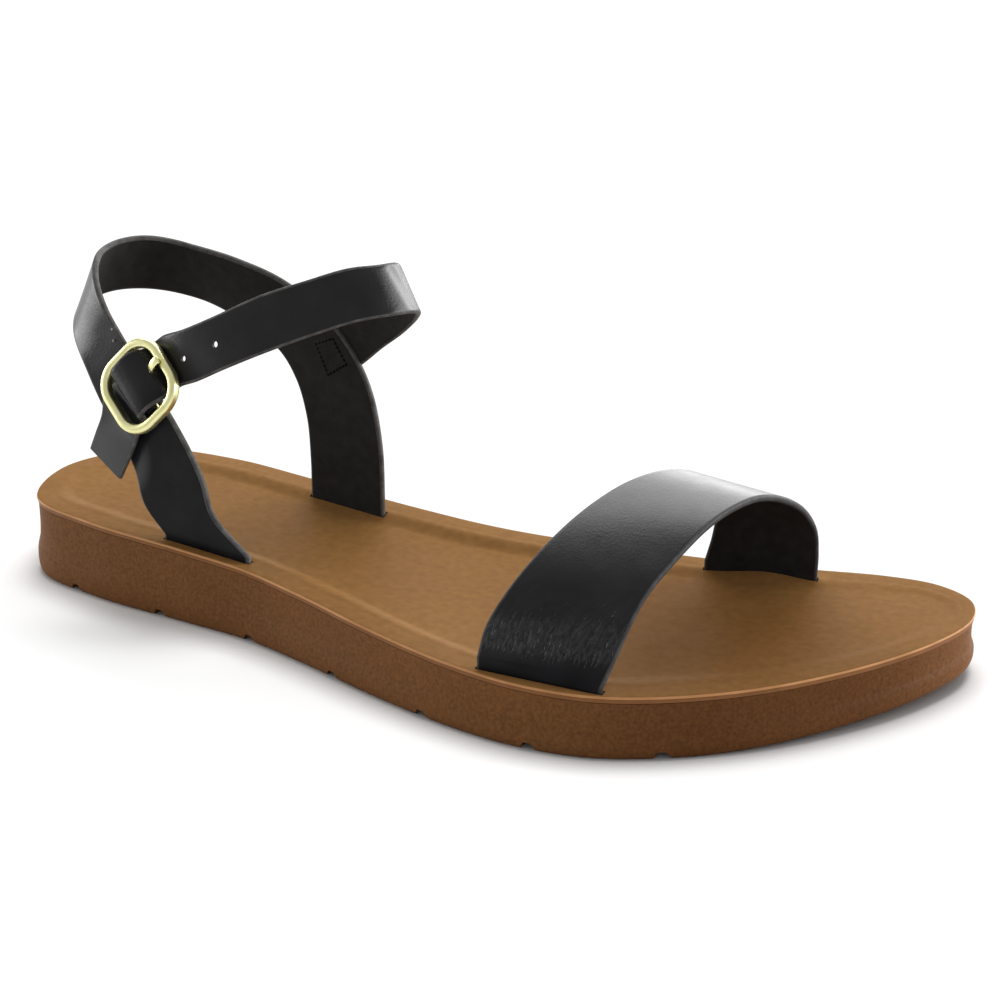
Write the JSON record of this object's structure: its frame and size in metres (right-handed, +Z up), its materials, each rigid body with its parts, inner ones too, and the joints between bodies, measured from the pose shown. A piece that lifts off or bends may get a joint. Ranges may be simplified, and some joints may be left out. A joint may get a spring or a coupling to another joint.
{
  "type": "ankle strap sandal",
  "caption": "Flat open sandal for the right foot: moulded sole with tread grooves, soft footbed, wide toe band, heel strap and buckled ankle strap.",
  "frame": {"origin": "on the floor under the middle of the sole's box", "axes": "+X to the toe, +Y to the inner (big toe) side, +Z up"},
  "size_m": [0.2618, 0.102, 0.0997],
  "materials": {
    "sole_brown": "satin moulded",
    "footbed_tan": "soft matte",
    "strap_black": "smooth, lightly glossed",
    "buckle_gold": "polished pale gold"
  },
  "bodies": {
    "root": {"unit_sole": "sole_brown", "footbed": "footbed_tan", "toe_band": "strap_black", "ankle_upper": "strap_black", "buckle_frame": "buckle_gold", "buckle_prong": "buckle_gold", "buckle_tab": "strap_black"}
  },
  "joints": []
}
